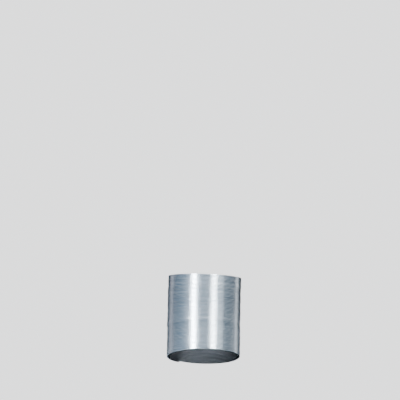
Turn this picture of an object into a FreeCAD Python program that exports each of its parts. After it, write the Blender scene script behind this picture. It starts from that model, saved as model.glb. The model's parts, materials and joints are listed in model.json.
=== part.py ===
"""Spring coil toy: a closed coil of flat metal strip that stretches, bends and walks.

Frame: millimetres, +Z up along the coil's axis. The coil stands on its bottom end, the origin
is at the centre of that end, +X is to the right and -Y is the front.

The strip is wound right-handed. A place on it is given in turns, u: u = 0 is at +X, and u grows
with the angle about Z. Each turn lies flat for three quarters of the way round, and climbs to
the next one across the back, so both ends of the coil are flat.

The strip is one piece on the real toy. Here it is cut into stretches, one per node, that meet
face to face. Cuts at +X, on a whole number of turns, and cuts at -X, half a turn later, take
turns: one kind carries a slide along the axis and the other a hinge on the coil's outer edge.
"""
import FreeCAD, Part
import math
import os

# ---- driving dimensions (mm) -------------------------------------------------------------
OUTER_DIAMETER = 38.0      # across the coil
STRIP_WIDTH = 1.8          # of the strip, measured along the coil's radius
STRIP_THICKNESS = 0.6      # of the strip, measured along the coil's axis
CLOSED_GAP = 0.05          # between turns that rest on each other
PITCH = STRIP_THICKNESS + CLOSED_GAP

# ---- the strip, in turns -----------------------------------------------------------------
STRIP_START = 0.375        # the bottom cut end, at the back on the left
STRIP_END = 60.125         # the top cut end, at the back on the right
CLIMB_START = 0.125        # the part of each turn in which the strip climbs, at the back
CLIMB_END = 0.375
LOWER_CUTS = (2, 29)       # first and last cut of the half that bends at +X
MIDDLE_CUTS = (30.5, 31.5)
UPPER_CUTS = (32.5, 58.5)  # first and last cut of the half that bends at -X

# ---- what follows from them --------------------------------------------------------------
OUTER_RADIUS = OUTER_DIAMETER / 2
INNER_RADIUS = OUTER_RADIUS - STRIP_WIDTH
CLIMB_TURNS = CLIMB_END - CLIMB_START


def cut_places():
    """Where the strip is cut, in turns, from the bottom to the top."""
    lower = [LOWER_CUTS[0] + step for step in range(LOWER_CUTS[1] - LOWER_CUTS[0] + 1)]
    upper_count = int(UPPER_CUTS[1] - UPPER_CUTS[0]) + 1
    upper = [UPPER_CUTS[0] + step for step in range(upper_count)]
    return lower + list(MIDDLE_CUTS) + upper


def height_at(turns):
    """Height of the strip's lower face at a place on the strip."""
    whole = math.floor(turns)
    climbed = (turns - whole - CLIMB_START) / CLIMB_TURNS
    return PITCH * (whole - 1 + min(max(climbed, 0.0), 1.0))


def section(height):
    """The strip's cross-section, a face in the XZ plane on the +X side."""
    corners = [
        (INNER_RADIUS, height),
        (OUTER_RADIUS, height),
        (OUTER_RADIUS, height + STRIP_THICKNESS),
        (INNER_RADIUS, height + STRIP_THICKNESS),
    ]
    points = [FreeCAD.Vector(x, 0, z) for x, z in corners]
    return Part.Face(Part.makePolygon(points + points[:1]))


def turned(shape, turns):
    """The shape turned about Z to a place on the strip."""
    shape.rotate(FreeCAD.Vector(0, 0, 0), FreeCAD.Vector(0, 0, 1), 360 * (turns % 1))
    return shape


def flat_stretch(start, end):
    """A level stretch of strip."""
    face = section(height_at((start + end) / 2))
    sweep = 360 * (end - start)
    solid = face.revolve(FreeCAD.Vector(0, 0, 0), FreeCAD.Vector(0, 0, 1), sweep)
    return turned(solid, start)


def climbing_stretch(start, end):
    """A stretch of strip that climbs at a steady rate, with its section kept upright."""
    rise = height_at(end) - height_at(start)
    turns = end - start
    path = Part.makeHelix(rise / turns, rise, OUTER_RADIUS)
    path.translate(FreeCAD.Vector(0, 0, height_at(start)))
    profile = section(height_at(start)).OuterWire
    sweep = Part.BRepOffsetAPI.MakePipeShell(path)
    sweep.setBiNormalMode(FreeCAD.Vector(0, 0, 1))
    sweep.add(profile)
    sweep.build()
    sweep.makeSolid()
    return turned(sweep.shape(), start)


def breaks_between(start, end):
    """The stretch's two ends and every place between them where climbing starts or stops."""
    places = [start]
    for whole in range(math.floor(start), math.floor(end) + 1):
        for place in (whole + CLIMB_START, whole + CLIMB_END):
            if start < place < end:
                places.append(place)
    return places + [end]


def strip(start, end):
    """One solid: the strip from one place to another."""
    places = breaks_between(start, end)
    pieces = []
    for first, last in zip(places, places[1:]):
        climbs = height_at(last) > height_at(first)
        pieces.append(climbing_stretch(first, last) if climbs else flat_stretch(first, last))
    whole = pieces[0].fuse(pieces[1:]) if len(pieces) > 1 else pieces[0]
    return whole.removeSplitter().Solids[0]


def node_name(index, count):
    if index == 0:
        return "bottom_end_turn"
    if index == count - 1:
        return "top_end_turn"
    return "turn_%02d" % (index + 1)


def main():
    os.makedirs("parts", exist_ok=True)
    places = [STRIP_START] + cut_places() + [STRIP_END]
    count = len(places) - 1
    section_area = STRIP_WIDTH * STRIP_THICKNESS
    mean_radius = (OUTER_RADIUS + INNER_RADIUS) / 2
    for index in range(count):
        solid = strip(places[index], places[index + 1])
        expected = section_area * 2 * math.pi * mean_radius * (places[index + 1] - places[index])
        name = node_name(index, count)
        solid.exportStep("parts/%s.step" % name)
        print(name, solid.isValid(), round(solid.Volume, 3), round(expected, 3))


main()
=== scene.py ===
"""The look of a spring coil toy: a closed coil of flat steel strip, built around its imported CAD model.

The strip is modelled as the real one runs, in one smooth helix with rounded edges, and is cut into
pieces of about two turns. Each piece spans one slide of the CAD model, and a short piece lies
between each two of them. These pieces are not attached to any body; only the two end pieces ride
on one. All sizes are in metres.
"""
import json
import math
import random

import bpy
import numpy as np
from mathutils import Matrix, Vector

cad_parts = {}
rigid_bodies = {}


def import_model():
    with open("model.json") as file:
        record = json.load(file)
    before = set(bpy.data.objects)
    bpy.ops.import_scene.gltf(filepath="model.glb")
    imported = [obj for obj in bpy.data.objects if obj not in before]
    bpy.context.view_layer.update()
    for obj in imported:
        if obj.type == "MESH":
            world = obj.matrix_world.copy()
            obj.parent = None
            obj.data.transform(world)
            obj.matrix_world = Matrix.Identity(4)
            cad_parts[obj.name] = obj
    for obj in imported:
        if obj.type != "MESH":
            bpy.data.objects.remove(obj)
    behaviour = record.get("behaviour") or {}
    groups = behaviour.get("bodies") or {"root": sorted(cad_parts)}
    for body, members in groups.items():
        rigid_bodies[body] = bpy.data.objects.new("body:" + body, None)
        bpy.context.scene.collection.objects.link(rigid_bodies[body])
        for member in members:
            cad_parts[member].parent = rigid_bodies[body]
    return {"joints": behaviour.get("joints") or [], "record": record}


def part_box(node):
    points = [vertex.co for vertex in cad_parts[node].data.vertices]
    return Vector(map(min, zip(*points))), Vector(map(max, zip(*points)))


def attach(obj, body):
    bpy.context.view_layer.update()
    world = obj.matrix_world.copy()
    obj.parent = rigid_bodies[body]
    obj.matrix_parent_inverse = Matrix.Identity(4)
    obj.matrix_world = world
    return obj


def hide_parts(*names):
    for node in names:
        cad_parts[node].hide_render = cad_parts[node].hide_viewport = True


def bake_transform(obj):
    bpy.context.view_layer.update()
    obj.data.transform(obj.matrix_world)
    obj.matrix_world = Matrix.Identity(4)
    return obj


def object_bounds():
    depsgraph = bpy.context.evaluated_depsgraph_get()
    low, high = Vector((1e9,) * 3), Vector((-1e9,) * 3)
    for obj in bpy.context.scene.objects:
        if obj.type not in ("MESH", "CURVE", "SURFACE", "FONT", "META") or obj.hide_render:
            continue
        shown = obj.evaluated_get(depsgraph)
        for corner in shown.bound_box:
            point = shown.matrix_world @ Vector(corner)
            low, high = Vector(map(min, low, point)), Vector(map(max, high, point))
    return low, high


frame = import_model()
CAD_LOW, CAD_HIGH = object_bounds()
MM = 0.001

# ---- the strip's sizes, read from the frame ------------------------------------------------
RECORD_MOUNTS = {mount["name"]: mount for mount in frame["record"]["mounts"]}
OUTER_RADIUS = (CAD_HIGH.x - CAD_LOW.x) / 2
INNER_RADIUS = RECORD_MOUNTS["bore"]["dims"]["r_mm"] * MM
MIDDLE_RADIUS = (OUTER_RADIUS + INNER_RADIUS) / 2
WIDTH = OUTER_RADIUS - INNER_RADIUS
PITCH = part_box("turn_03")[0].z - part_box("turn_02")[0].z
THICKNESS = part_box("bottom_end_turn")[1].z - PITCH
COIL_HEIGHT = CAD_HIGH.z - CAD_LOW.z
BODY_NODES = frame["record"]["behaviour"]["bodies"]   # the CAD nodes on each body

# ---- the strip's course, in turns from +X --------------------------------------------------
STRIP_START = 0.375
STRIP_END = 60.125
PIECE_START = 1.0          # where the first piece that stretches begins
PIECE_TURNS = 2.0
MIDDLE_PIECE_TURNS = 2.5   # the piece that passes from the lower half to the upper half
CLIMB_START = 0.125        # an end turn lies flat but for this part of it, where it climbs
CLIMB_END = 0.375
BACK = 0.25                # where a turn passes the back
EASE_TURNS = 9.0           # over which the flat end turns become an even helix

# ---- the mesh ------------------------------------------------------------------------------
SEGMENTS_PER_TURN = 96
JOIN_TURNS = 12 / SEGMENTS_PER_TURN   # the length of the short piece across a hinge
CORNER_STEPS = 3
FACE_STEPS = 3

# ---- how the strip departs from a perfect helix --------------------------------------------
CORNER_RADIUS = 0.14 * MM
CROWN = 0.035 * MM         # how far the rolled edge bulges
SIDE_WANDER = 0.08 * MM    # of the turns, to and fro
TURN_JITTER = 0.025 * MM   # of each turn against the next
OVAL = 0.05 * MM
OVAL_SWING = 1.5           # how far the oval's direction wanders, in radians
TILT = math.radians(0.7)   # of the strip about its own line
TILT_EASE_TURNS = 1.5      # from each end, over which the tilt comes in
FAN = math.radians(9.1)    # from the bottom turn to the top one
TIGHT_SIDE = math.radians(13)   # where the fan is closed, to the right of the front
# where the turns stand a little apart, as (place in turns, extra gap), and where the rest close up
SLACK = (
    (9.4, 0.05 * MM),
    (15.8, 0.04 * MM),
    (23.1, 0.07 * MM),
    (31.6, 0.04 * MM),
    (36.3, 0.05 * MM),
    (38.7, 0.08 * MM),
    (40.9, 0.05 * MM),
    (47.9, 0.06 * MM),
    (50.2, 0.11 * MM),
)
SLACK_START = 3.0
SLACK_END = 57.5
# how a cut end is rounded, as (distance from the end, inset of the section)
END_INSETS = (
    (0.0, 0.11 * MM),
    (0.03 * MM, 0.045 * MM),
    (0.08 * MM, 0.012 * MM),
    (0.14 * MM, 0.0),
)


def smooth(share):
    share = min(max(share, 0.0), 1.0)
    return share * share * (3 - 2 * share)


def wanderer(seed, slowest, fastest, waves=7):
    """A smooth random function of the place on the strip, from about -1 to 1."""
    draw = random.Random(seed)
    parts = []
    for step in range(waves):
        turns = slowest * (fastest / slowest) ** (step / (waves - 1))
        rate = 2 * math.pi / (turns * draw.uniform(0.85, 1.15))
        parts.append((rate, draw.uniform(0, 2 * math.pi)))
    scale = 1.6 / waves ** 0.5 / 1.4

    def value(turns):
        return scale * sum(math.sin(rate * turns + phase) for rate, phase in parts)

    return value


side_x = wanderer(11, 23.0, 3.1)
side_y = wanderer(12, 19.0, 2.7)
jitter_x = wanderer(13, 2.3, 1.1)
jitter_y = wanderer(14, 2.2, 1.07)
oval_size = wanderer(15, 17.0, 2.0)
oval_turn = wanderer(16, 29.0, 7.0)
tilt_of = wanderer(17, 9.0, 1.9)


def slack_at(turns):
    """How much the strip's unevenly closed turns lift it above an even helix."""
    opened = sum(extra * smooth(turns - place) for place, extra in SLACK)
    total = sum(extra for place, extra in SLACK)
    closed = min(max((turns - SLACK_START) / (SLACK_END - SLACK_START), 0.0), 1.0)
    return opened - total * closed


def height_at(turns):
    """Height of the middle of the strip."""
    whole = math.floor(turns)
    climbed = (turns - whole - CLIMB_START) / (CLIMB_END - CLIMB_START)
    stepped = whole - 1 + min(max(climbed, 0.0), 1.0)
    even = turns - (CLIMB_START + CLIMB_END) / 2 - 0.5
    from_end = min(turns - STRIP_START, STRIP_END - turns)
    share = smooth((from_end - 1) / EASE_TURNS)
    return PITCH * (stepped * (1 - share) + even * share) + THICKNESS / 2 + slack_at(turns)


def spun(vectors, angle):
    """Vectors turned about Z."""
    cos, sin = math.cos(angle), math.sin(angle)
    return vectors @ np.array([[cos, sin, 0], [-sin, cos, 0], [0, 0, 1]])


def leaned(vectors, height):
    """Vectors tipped towards the tight side by their height's share of the fan."""
    lean = FAN * height / COIL_HEIGHT
    cos, sin = math.cos(lean), math.sin(lean)
    tipped = spun(vectors, -TIGHT_SIDE) @ np.array([[1, 0, 0], [0, cos, sin], [0, -sin, cos]])
    return spun(tipped, TIGHT_SIDE)


def fanned(points, height):
    """Points of one turn, moved to where the fan holds that turn.

    The tight side bends in an arc, and each turn leans about its own point on it.
    """
    lean = FAN * height / COIL_HEIGHT
    reach = COIL_HEIGHT / FAN
    tight = np.array([math.sin(TIGHT_SIDE), -math.cos(TIGHT_SIDE), 0])
    up = np.array([0, 0, 1.0])
    edge = tight * OUTER_RADIUS + up * height
    bent = OUTER_RADIUS + reach * (1 - math.cos(lean))
    moved_edge = tight * bent + up * reach * math.sin(lean)
    return leaned(points - edge, height) + moved_edge


# ---- the strip's section -------------------------------------------------------------------


def section_points():
    """The strip's cross-section as (radial, upward) points about its middle."""
    corner_x = WIDTH / 2 - CORNER_RADIUS
    corner_y = THICKNESS / 2 - CORNER_RADIUS
    points = []
    corners = [(1, 1), (-1, 1), (-1, -1), (1, -1)]
    for index, (side, top) in enumerate(corners):
        first = math.radians(90 * index)
        for step in range(CORNER_STEPS + 1):
            angle = first + math.radians(90) * step / CORNER_STEPS
            x = side * corner_x + CORNER_RADIUS * math.cos(angle)
            y = top * corner_y + CORNER_RADIUS * math.sin(angle)
            points.append((x, y))
        next_side, next_top = corners[(index + 1) % 4]
        start = points[-1]
        last = first + math.radians(90)
        end_x = next_side * corner_x + CORNER_RADIUS * math.cos(last)
        end_y = next_top * corner_y + CORNER_RADIUS * math.sin(last)
        for step in range(1, FACE_STEPS):
            share = step / FACE_STEPS
            x = start[0] + (end_x - start[0]) * share
            y = start[1] + (end_y - start[1]) * share
            points.append((x, y))
    return points


def crowned(points):
    """The section with its two narrow faces bulging."""
    out = []
    for x, y in points:
        near = smooth((abs(x) - (WIDTH / 2 - CORNER_RADIUS)) / CORNER_RADIUS)
        bulge = CROWN * near * ((y / (THICKNESS / 2)) ** 2)
        out.append((x - math.copysign(bulge, x), y))
    return np.array(out)


def section_normals(points):
    ahead = np.roll(points, -1, axis=0) - points
    behind = points - np.roll(points, 1, axis=0)
    direction = ahead / np.linalg.norm(ahead, axis=1)[:, None]
    direction = direction + behind / np.linalg.norm(behind, axis=1)[:, None]
    direction /= np.linalg.norm(direction, axis=1)[:, None]
    return np.stack([direction[:, 1], -direction[:, 0]], axis=1)


def section_lengths(points):
    """How far round the section each point is, and at the end the whole way round."""
    sides = np.linalg.norm(np.roll(points, -1, axis=0) - points, axis=1)
    return np.concatenate([[0], np.cumsum(sides)])


def edge_wear(points):
    """How worn each point is, from 0 to 1: the two outer corners are."""
    worn = THICKNESS / 2 - CORNER_RADIUS * 0.3
    near = np.clip(1 - np.abs(np.abs(points[:, 1]) - worn) / (CORNER_RADIUS * 0.6), 0, 1)
    return near * (points[:, 0] > WIDTH / 2 - CORNER_RADIUS * 1.01)


def inner_edge(points):
    """How far each point belongs to the edge on the inside of the coil, from 0 to 1."""
    return np.clip((-points[:, 0] - (WIDTH / 2 - 2 * CORNER_RADIUS)) / CORNER_RADIUS, 0, 1)


SECTION = crowned(section_points())
SECTION_NORMALS = section_normals(SECTION)
SECTION_LENGTHS = section_lengths(SECTION)
SECTION_ATTRIBUTES = {"edge_wear": edge_wear(SECTION), "inner_edge": inner_edge(SECTION)}


# ---- pieces of strip -----------------------------------------------------------------------


def ring(turns, inset):
    """The strip's section at a place on it: points and normals in the row frame."""
    angle = 2 * math.pi * turns
    out = np.array([math.cos(angle), math.sin(angle), 0])
    up = np.array([0, 0, 1.0])
    steady = smooth((min(turns - STRIP_START, STRIP_END - turns)) / TILT_EASE_TURNS)
    tilt = TILT * tilt_of(turns) * steady
    across = out * math.cos(tilt) + up * math.sin(tilt)
    above = up * math.cos(tilt) - out * math.sin(tilt)
    oval = OVAL * oval_size(turns) * math.cos(2 * (angle - OVAL_SWING * oval_turn(turns)))
    height = height_at(turns)
    centre = out * (MIDDLE_RADIUS + oval) + up * height
    centre[0] += SIDE_WANDER * side_x(turns) + TURN_JITTER * jitter_x(turns)
    centre[1] += SIDE_WANDER * side_y(turns) + TURN_JITTER * jitter_y(turns)
    shrink = np.array([1 - inset / (WIDTH / 2), 1 - inset / (THICKNESS / 2)])
    shape = SECTION * shrink
    points = centre + shape[:, :1] * across + shape[:, 1:] * above
    normals = SECTION_NORMALS[:, :1] * across + SECTION_NORMALS[:, 1:] * above
    return fanned(points, height), leaned(normals, height)


def ring_places(start, end):
    """Where a piece has rings, as (place in turns, inset). The strip's own cut ends are rounded."""
    count = round((end - start) * SEGMENTS_PER_TURN)
    places = [(start + (end - start) * step / count, 0.0) for step in range(count + 1)]
    per_metre = 1 / (2 * math.pi * MIDDLE_RADIUS)
    if start == STRIP_START:
        rounded = [(start + along * per_metre, inset) for along, inset in END_INSETS]
        places = rounded + places[1:]
    if end == STRIP_END:
        rounded = [(end - along * per_metre, inset) for along, inset in reversed(END_INSETS)]
        places = places[:-1] + rounded
    return places


def strip_piece(name, start, end):
    """One closed mesh: the strip from one place to another. Also gives each vertex's place."""
    sides = len(SECTION)
    points, normals, turns = [], [], []
    for place, inset in ring_places(start, end):
        ring_points, ring_normals = ring(place, inset)
        points.append(ring_points)
        normals.append(ring_normals)
        turns.append(place)
    points = np.concatenate(points)
    faces, loops, coordinates = [], [], []
    for row in range(len(turns) - 1):
        for side in range(sides):
            following = (side + 1) % sides
            corners = [(row, side), (row + 1, side), (row + 1, following), (row, following)]
            faces.append([r * sides + s for r, s in corners])
            for (r, s), last in zip(corners, (side, side, side + 1, side + 1)):
                loops.append(normals[r][s])
                coordinates.append((turns[r], SECTION_LENGTHS[last] / MM))
    last_row = (len(turns) - 1) * sides
    for first, order, sign in ((0, range(sides), -1), (last_row, reversed(range(sides)), 1)):
        cap = [first + side for side in order]
        faces.append(cap)
        place = turns[0 if first == 0 else -1]
        angle = 2 * math.pi * place
        ahead = np.array([-math.sin(angle), math.cos(angle), 0])
        facing = leaned(ahead * sign, height_at(place))
        for corner in cap:
            loops.append(facing)
            coordinates.append((place, SECTION_LENGTHS[corner - first] / MM))
    mesh = bpy.data.meshes.new(name)
    mesh.from_pydata(points.tolist(), [], faces)
    layer = mesh.uv_layers.new(name="along_and_around")
    layer.data.foreach_set("uv", np.array(coordinates, np.float32).ravel())
    for attribute, values in SECTION_ATTRIBUTES.items():
        layer = mesh.attributes.new(attribute, "FLOAT", "POINT")
        layer.data.foreach_set("value", np.tile(values, len(turns)).astype(np.float32))
    mesh.polygons.foreach_set("use_smooth", [True] * len(mesh.polygons))
    mesh.normals_split_custom_set([tuple(normal) for normal in loops])
    mesh.update()
    piece = bpy.data.objects.new(name, mesh)
    bpy.context.scene.collection.objects.link(piece)
    return piece, np.repeat(np.array(turns), sides)


# ---- materials -----------------------------------------------------------------------------


class Nodes:
    """A short way to add and join a material's nodes."""

    def __init__(self, name):
        self.material = bpy.data.materials.new(name)
        self.material.use_nodes = True
        self.tree = self.material.node_tree
        self.tree.nodes.clear()

    def add(self, kind, **settings):
        node = self.tree.nodes.new(kind)
        for key, value in settings.items():
            if key.startswith("in_"):
                node.inputs[key[3:].replace("_", " ")].default_value = value
            else:
                setattr(node, key, value)
        return node

    def join(self, source, output, target, entry):
        self.tree.links.new(source.outputs[output], target.inputs[entry])

    def math(self, operation, first, second=None):
        node = self.add("ShaderNodeMath", operation=operation)
        for index, value in enumerate((first, second)):
            if value is None:
                continue
            if isinstance(value, (int, float)):
                node.inputs[index].default_value = value
            else:
                self.tree.links.new(value, node.inputs[index])
        return node.outputs[0]

    def span(self, value, low, high, to_low, to_high):
        node = self.add("ShaderNodeMapRange")
        self.tree.links.new(value, node.inputs["Value"])
        node.inputs["From Min"].default_value = low
        node.inputs["From Max"].default_value = high
        node.inputs["To Min"].default_value = to_low
        node.inputs["To Max"].default_value = to_high
        return node.outputs["Result"]

    def noise(self, source, along, across, detail, roughness=0.55):
        """Noise stretched along the strip: along is per turn and across is per millimetre."""
        scaled = self.add("ShaderNodeMapping")
        scaled.inputs["Scale"].default_value = (along, across, 1)
        self.tree.links.new(source, scaled.inputs["Vector"])
        node = self.add("ShaderNodeTexNoise", in_Scale=1.0, in_Detail=detail, in_Roughness=roughness)
        self.join(scaled, 0, node, "Vector")
        return node.outputs[0]

    def haze(self, source):
        """Soft patches from handling, which run across turns as they lie in the closed coil."""
        place = self.add("ShaderNodeSeparateXYZ")
        self.tree.links.new(source, place.inputs[0])
        turns = place.outputs["X"]
        angle = self.math("MULTIPLY", turns, 2 * math.pi)
        around = self.add("ShaderNodeCombineXYZ")
        self.tree.links.new(self.math("COSINE", angle), around.inputs["X"])
        self.tree.links.new(self.math("SINE", angle), around.inputs["Y"])
        self.tree.links.new(self.math("MULTIPLY", turns, PITCH / OUTER_RADIUS), around.inputs["Z"])
        node = self.add("ShaderNodeTexNoise", in_Scale=HAZE_SCALE, in_Detail=3.0, in_Roughness=0.6)
        self.join(around, 0, node, "Vector")
        return node.outputs[0]

    def by_turn(self, source):
        """The place along the strip, held nearly still round each turn's front.

        It moves on to the next turn's value at the back.
        """
        place = self.add("ShaderNodeSeparateXYZ")
        self.tree.links.new(source, place.inputs[0])
        from_back = self.math("SUBTRACT", place.outputs["X"], BACK)
        turn = self.math("FLOOR", from_back)
        from_front = self.math("SUBTRACT", self.math("SUBTRACT", from_back, turn), 0.5)
        moved_on = self.math("MULTIPLY", self.math("POWER", from_front, 3.0), 4.0)
        held = self.add("ShaderNodeCombineXYZ")
        self.tree.links.new(self.math("ADD", turn, moved_on), held.inputs["X"])
        return held.outputs[0]

    def mix(self, share, first, second):
        node = self.add("ShaderNodeMix", data_type="RGBA")
        self.tree.links.new(share, node.inputs[0])
        for index, value in ((6, first), (7, second)):
            if isinstance(value, tuple):
                node.inputs[index].default_value = (*value, 1)
            else:
                self.tree.links.new(value, node.inputs[index])
        return node.outputs[2]


DARK_TURN = (0.395, 0.48, 0.55)
LIGHT_TURN = (0.74, 0.80, 0.86)
HAZED = (0.40, 0.46, 0.52)
INSIDE = (0.55, 0.56, 0.58)
WORN = (0.78, 0.82, 0.855)
TURN_RATE = 1.9            # noise along the strip, per turn
FINISH_RATE = 2.3
PATCH_RATE = (2.5, 0.8)    # per turn and per millimetre across
SCORE_RATE = (5.0, 14.0)
HAZE_SCALE = 2.6
TURN_TONE = 0.9            # how much of the tone changes by turn
PATCH_TONE = 0.1
HAZE_MOST = 0.06           # of the hazed colour
INSIDE_MOST = 0.95
WEAR_MOST = 0.5
SCORE_ROUGH = 0.6          # how much of the roughness comes from the scores
PATCH_ROUGH = 0.4
SMOOTHEST = 0.18
ROUGHEST = 0.26
FINISH_ROUGH = 0.04        # more or less, from turn to turn
WEAR_SMOOTHS = 0.05
INSIDE_ROUGHENS = 0.14
SCORE_DEPTH = 0.004 * MM
SCORE_STRENGTH = 0.25


def coil_steel():
    """Bright drawn steel strip: blue-grey, finely scored along its length, with worn edges."""
    nodes = Nodes("coil_steel")
    place = nodes.add("ShaderNodeUVMap", uv_map="along_and_around").outputs["UV"]
    wear = nodes.add("ShaderNodeAttribute", attribute_name="edge_wear").outputs["Fac"]
    inside = nodes.add("ShaderNodeAttribute", attribute_name="inner_edge").outputs["Fac"]
    by_turn = nodes.by_turn(place)
    turns = nodes.noise(by_turn, TURN_RATE, 0.0, detail=1.0)
    finish = nodes.noise(by_turn, FINISH_RATE, 0.0, detail=1.0)
    patches = nodes.noise(place, *PATCH_RATE, detail=2.0)
    scores = nodes.noise(place, *SCORE_RATE, detail=5.0, roughness=0.7)
    haze = nodes.haze(place)

    tone = nodes.math(
        "ADD",
        nodes.math("MULTIPLY", turns, TURN_TONE),
        nodes.math("MULTIPLY", patches, PATCH_TONE),
    )
    body = nodes.mix(nodes.span(tone, 0.22, 0.78, 0, 1), DARK_TURN, LIGHT_TURN)
    body = nodes.mix(nodes.span(haze, 0.5, 0.75, 0, HAZE_MOST), body, HAZED)
    body = nodes.mix(nodes.math("MULTIPLY", inside, INSIDE_MOST), body, INSIDE)
    colour = nodes.mix(nodes.math("MULTIPLY", wear, WEAR_MOST), body, WORN)

    marks = nodes.math(
        "ADD",
        nodes.math("MULTIPLY", scores, SCORE_ROUGH),
        nodes.math("MULTIPLY", patches, PATCH_ROUGH),
    )
    rough = nodes.span(marks, 0.3, 0.7, SMOOTHEST, ROUGHEST)
    rough = nodes.math("SUBTRACT", rough, nodes.math("MULTIPLY", wear, WEAR_SMOOTHS))
    outside = nodes.math("SUBTRACT", 1.0, inside)
    change = nodes.span(finish, 0.3, 0.7, -FINISH_ROUGH, FINISH_ROUGH)
    rough = nodes.math("ADD", rough, nodes.math("MULTIPLY", change, outside))
    rough = nodes.math("ADD", rough, nodes.math("MULTIPLY", inside, INSIDE_ROUGHENS))

    bump = nodes.add("ShaderNodeBump", in_Strength=SCORE_STRENGTH, in_Distance=SCORE_DEPTH)
    nodes.tree.links.new(scores, bump.inputs["Height"])
    metal = nodes.add("ShaderNodeBsdfPrincipled", in_Metallic=1.0)
    nodes.tree.links.new(colour, metal.inputs["Base Color"])
    nodes.tree.links.new(rough, metal.inputs["Roughness"])
    nodes.join(bump, 0, metal, "Normal")
    output = nodes.add("ShaderNodeOutputMaterial")
    nodes.join(metal, 0, output, "Surface")
    return nodes.material


FLOOR_COLOUR = (0.80, 0.80, 0.80)
FLOOR_PAINTED_REFLECTION = (0.34, 0.37, 0.40)   # painted reflection: the floor as the bright steel shows it, much darker than it is
FLOOR_ROUGHNESS = 0.9
FLOOR_SOLID = 0.25                 # how far out the floor begins to fade, and where it is gone
FLOOR_GONE = 0.9


def floor_material():
    """Pale paper that fades into the surround.

    It is seen from above only, so that it never hides the coil. Where the steel reflects it, its colour
    is painted darker, as a painted reflection.
    """
    nodes = Nodes("pale_floor")
    paper = nodes.add("ShaderNodeBsdfPrincipled", in_Roughness=FLOOR_ROUGHNESS)
    path = nodes.add("ShaderNodeLightPath")
    # painted reflection: glossy rays see the floor darker than the eye does
    colour = nodes.mix(path.outputs["Is Glossy Ray"], FLOOR_COLOUR, FLOOR_PAINTED_REFLECTION)
    nodes.tree.links.new(colour, paper.inputs["Base Color"])
    clear = nodes.add("ShaderNodeBsdfTransparent")
    side = nodes.add("ShaderNodeNewGeometry")
    place = nodes.add("ShaderNodeTexCoord")
    away = nodes.add("ShaderNodeVectorMath", operation="LENGTH")
    nodes.join(place, "Object", away, 0)
    fade = nodes.span(away.outputs["Value"], FLOOR_SOLID, FLOOR_GONE, 0, 1)
    choice = nodes.add("ShaderNodeMixShader")
    gone = nodes.math("MAXIMUM", side.outputs["Backfacing"], fade)
    nodes.tree.links.new(gone, choice.inputs[0])
    nodes.join(paper, 0, choice, 1)
    nodes.join(clear, 0, choice, 2)
    output = nodes.add("ShaderNodeOutputMaterial")
    nodes.join(choice, 0, output, "Surface")
    return nodes.material


# ---- the coil ------------------------------------------------------------------------------


def riding_piece(name, start, end, body, steel):
    """A piece of strip that rides on one body."""
    piece, _ = strip_piece(name, start, end)
    piece.data.materials.append(steel)
    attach(piece, body)
    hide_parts(*BODY_NODES[body])


def blended_piece(name, start, end, first_body, second_body, steel):
    """A piece that spans two bodies along the strip; it is attached to neither, and the CAD parts of both
    are hidden.
    """
    piece, turns = strip_piece(name, start, end)
    piece.data.materials.append(steel)
    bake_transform(piece)
    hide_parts(*BODY_NODES[first_body], *BODY_NODES[second_body])


def make_coil():
    """Pieces across the slides, and short ones between them across the hinges."""
    steel = coil_steel()
    slides = [joint for joint in frame["joints"] if joint["type"] == "slide"]
    half = len(slides) // 2
    start = PIECE_START
    riding_piece("strip_bottom_end", STRIP_START, start, slides[0]["parent"], steel)
    for index, slide in enumerate(slides):
        below, above = slide["parent"], slide["child"]
        last = index == len(slides) - 1
        end = start + (MIDDLE_PIECE_TURNS if index == half else PIECE_TURNS)
        first = start + (JOIN_TURNS / 2 if index else 0)
        final = end - (0 if last else JOIN_TURNS / 2)
        blended_piece("strip_turns_%02d" % (index + 1), first, final, below, above, steel)
        if not last:
            name = "strip_join_%02d" % (index + 1)
            following = slides[index + 1]["parent"]
            blended_piece(name, final, final + JOIN_TURNS, above, following, steel)
        start = end
    riding_piece("strip_top_end", start, STRIP_END, slides[-1]["child"], steel)


# ---- the stage -----------------------------------------------------------------------------

CAMERA_AWAY = 2.5
CAMERA_BELOW = math.radians(13.3)   # the line of sight to the coil rises by this
FRAME_WIDTH = 0.2081               # of what the camera sees, at the coil
COIL_RIGHT = 0.0018                # of the picture's centre
COIL_BELOW = 0.0625
SENSOR = 36.0
NEAREST_SEEN = 0.01
FURTHEST_SEEN = 100

FLOOR_REACH = 6.0
FLOOR_BELOW = 0.1 * MM             # the coil

PALE = (0.93, 0.94, 0.95)
PALE_STRENGTH = 2.2
SURROUND = (                       # of what lights the coil, from the back round to the front
    (0.0, (0.02, 0.02, 0.02)),
    (0.2, (0.045, 0.045, 0.05)),
    (0.42, (0.085, 0.095, 0.11)),
    (0.65, (0.12, 0.14, 0.16)),
    (1.0, (0.15, 0.165, 0.18)),
)
LEFT_TINT = (1.3, 2.0, 2.65)
RIGHT_TINT = (0.80, 1.0, 1.12)
TINT_REACH = 0.5                   # how far to each side of the middle the tints meet

LIGHT_AWAY = 0.9
OVERHEAD_AWAY = 1.4
WHITE = (1.0, 1.0, 1.0)
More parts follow.
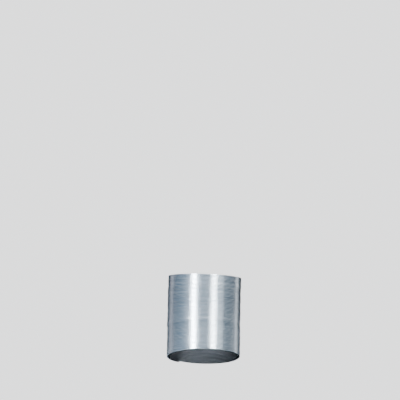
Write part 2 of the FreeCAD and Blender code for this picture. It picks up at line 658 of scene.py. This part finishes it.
# name, azimuth, elevation, distance, size, watts, colour. Azimuth 0 is the front, and grows to the right.
LIGHTS = (
    ("left_strip", -32.5, 14, LIGHT_AWAY, (0.20, 1.1), 38, WHITE),
    ("right_strip", 31, 14, LIGHT_AWAY, (0.22, 1.1), 23, (1.0, 0.99, 0.97)),
    ("right_wing", 52, 14, LIGHT_AWAY, (0.32, 1.1), 1.8, (0.93, 0.98, 1.0)),
    ("left_rear_strip", -127, 14, LIGHT_AWAY, (0.32, 1.1), 0.8, (1.0, 0.90, 0.93)),
    ("right_rear_strip", 124, 14, LIGHT_AWAY, (0.25, 1.1), 1.5, (1.0, 0.97, 0.96)),
    ("high_back_left", -152, 52, LIGHT_AWAY, (0.20, 0.5), 2, WHITE),
    ("high_back_right", 155, 52, LIGHT_AWAY, (0.20, 0.5), 2, WHITE),
    ("overhead", 0, 80, OVERHEAD_AWAY, (1.6, 1.6), 4, WHITE),
    ("overhead_on_floor", 0, 80, OVERHEAD_AWAY, (1.6, 1.6), 10, WHITE),
)
NOT_ON_FLOOR = ("high_back_left", "high_back_right")
NOT_IN_STEEL = ("overhead_on_floor",)


def make_camera():
    data = bpy.data.cameras.new("camera")
    data.sensor_width = SENSOR
    data.lens = SENSOR * CAMERA_AWAY / FRAME_WIDTH
    data.clip_start = NEAREST_SEEN
    data.clip_end = FURTHEST_SEEN
    camera = bpy.data.objects.new("camera", data)
    bpy.context.scene.collection.objects.link(camera)
    coil = (CAD_LOW + CAD_HIGH) / 2
    pitch = CAMERA_BELOW + math.atan(COIL_BELOW / CAMERA_AWAY)
    forward = Vector((0, math.cos(pitch), math.sin(pitch)))
    up = Vector((0, -math.sin(pitch), math.cos(pitch)))
    aim = coil + up * COIL_BELOW - Vector((COIL_RIGHT, 0, 0))
    camera.location = aim - forward * CAMERA_AWAY
    camera.rotation_mode = "QUATERNION"
    camera.rotation_quaternion = forward.to_track_quat("-Z", "Y")
    bpy.context.scene.camera = camera


def make_floor():
    mesh = bpy.data.meshes.new("floor")
    height = CAD_LOW.z - FLOOR_BELOW
    corners = [(-1, -1), (1, -1), (1, 1), (-1, 1)]
    points = [(x * FLOOR_REACH, y * FLOOR_REACH, height) for x, y in corners]
    mesh.from_pydata(points, [], [(0, 1, 2, 3)])
    floor = bpy.data.objects.new("floor", mesh)
    bpy.context.scene.collection.objects.link(floor)
    floor.data.materials.append(floor_material())


def area_light(name, azimuth, elevation, away, size, power, colour):
    """A soft light that faces the coil."""
    data = bpy.data.lights.new(name, "AREA")
    data.shape = "RECTANGLE"
    data.size = size[0]
    data.size_y = size[1]
    data.energy = power
    data.color = colour
    light = bpy.data.objects.new(name, data)
    bpy.context.scene.collection.objects.link(light)
    light.visible_glossy = name not in NOT_IN_STEEL
    light.visible_diffuse = name not in NOT_ON_FLOOR
    a = math.radians(azimuth)
    e = math.radians(elevation)
    towards = Vector((math.sin(a) * math.cos(e), -math.cos(a) * math.cos(e), math.sin(e)))
    middle = (CAD_LOW + CAD_HIGH) / 2
    light.location = middle + towards * away
    light.rotation_mode = "QUATERNION"
    light.rotation_quaternion = (-towards).to_track_quat("-Z", "Y")


def surround_light(tree):
    """The colour that lights the coil from each direction: darker at the back, bluer at the left."""
    direction = tree.nodes.new("ShaderNodeTexCoord")
    parts = tree.nodes.new("ShaderNodeSeparateXYZ")
    tree.links.new(direction.outputs["Generated"], parts.inputs[0])
    shift = tree.nodes.new("ShaderNodeMapRange")
    for key, value in (("From Min", 1.0), ("From Max", -1.0), ("To Min", 0.0), ("To Max", 1.0)):
        shift.inputs[key].default_value = value
    tree.links.new(parts.outputs["Y"], shift.inputs["Value"])
    fade = tree.nodes.new("ShaderNodeValToRGB")
    tree.links.new(shift.outputs["Result"], fade.inputs["Fac"])
    steps = fade.color_ramp.elements
    steps[0].position, steps[0].color = SURROUND[0][0], (*SURROUND[0][1], 1)
    steps[1].position, steps[1].color = SURROUND[-1][0], (*SURROUND[-1][1], 1)
    for position, colour in SURROUND[1:-1]:
        steps.new(position).color = (*colour, 1)
    across = tree.nodes.new("ShaderNodeMapRange")
    across.inputs["From Min"].default_value = -TINT_REACH
    across.inputs["From Max"].default_value = TINT_REACH
    tree.links.new(parts.outputs["X"], across.inputs["Value"])
    tint = tree.nodes.new("ShaderNodeMix")
    tint.data_type = "RGBA"
    tint.inputs[6].default_value = (*LEFT_TINT, 1)
    tint.inputs[7].default_value = (*RIGHT_TINT, 1)
    tree.links.new(across.outputs["Result"], tint.inputs[0])
    tinted = tree.nodes.new("ShaderNodeMix")
    tinted.data_type = "RGBA"
    tinted.blend_type = "MULTIPLY"
    tinted.inputs[0].default_value = 1.0
    tree.links.new(fade.outputs["Color"], tinted.inputs[6])
    tree.links.new(tint.outputs[2], tinted.inputs[7])
    return tinted.outputs[2]


def make_world():
    """A pale surround. What lights the coil is dimmer than what is seen."""
    world = bpy.data.worlds.new("studio")
    world.use_nodes = True
    tree = world.node_tree
    tree.nodes.clear()
    seen = tree.nodes.new("ShaderNodeBackground")
    seen.inputs["Color"].default_value = (*PALE, 1)
    seen.inputs["Strength"].default_value = PALE_STRENGTH
    fill = tree.nodes.new("ShaderNodeBackground")
    tree.links.new(surround_light(tree), fill.inputs["Color"])
    path = tree.nodes.new("ShaderNodeLightPath")
    choice = tree.nodes.new("ShaderNodeMixShader")
    output = tree.nodes.new("ShaderNodeOutputWorld")
    tree.links.new(path.outputs["Is Camera Ray"], choice.inputs[0])
    tree.links.new(fill.outputs[0], choice.inputs[1])
    tree.links.new(seen.outputs[0], choice.inputs[2])
    tree.links.new(choice.outputs[0], output.inputs["Surface"])
    bpy.context.scene.world = world


make_camera()
make_coil()
make_floor()
make_world()
for light in LIGHTS:
    area_light(*light)
